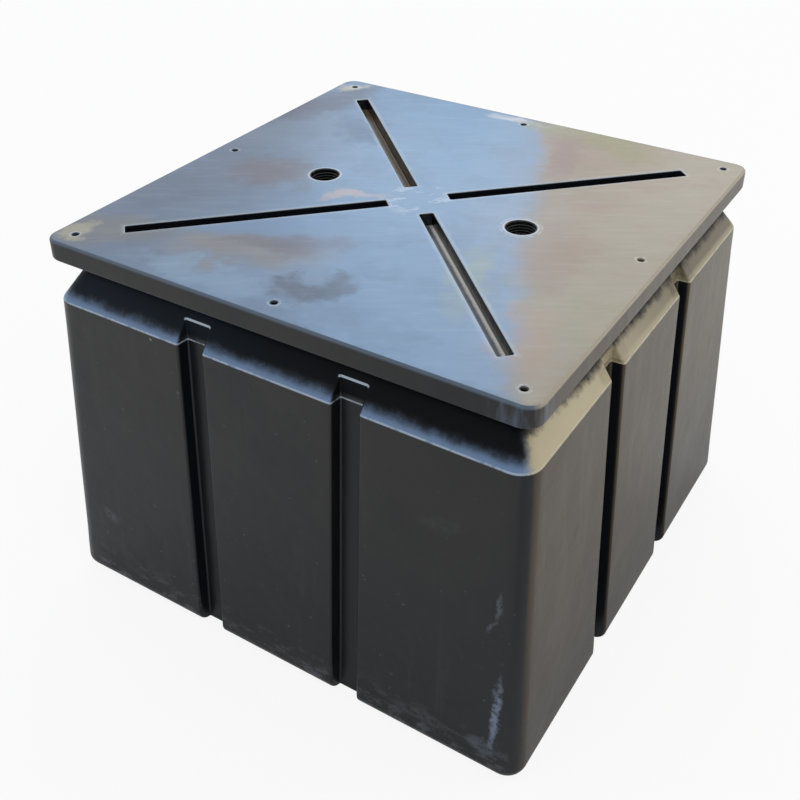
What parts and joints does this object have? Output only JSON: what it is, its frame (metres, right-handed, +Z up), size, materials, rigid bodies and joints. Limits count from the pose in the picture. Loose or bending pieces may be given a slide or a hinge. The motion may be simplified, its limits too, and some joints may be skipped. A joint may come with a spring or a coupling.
{
  "type": "dock float block",
  "caption": "Hollow moulded float block for docks, with a bolt-down deck flange, a neck below it, stiffening grooves and open filling sockets.",
  "frame": {"origin": "middle of the footprint, on the floor", "axes": "+Z up through the deck; X through both filling sockets; Y across them"},
  "size_m": [1.0698, 1.0698, 0.8],
  "materials": {
    "polyethylene": "black moulded polyethylene with a soft shine, a blue-grey haze on the deck, scuffs and water streaks"
  },
  "bodies": {
    "root": {"float_shell": "polyethylene"}
  },
  "joints": []
}
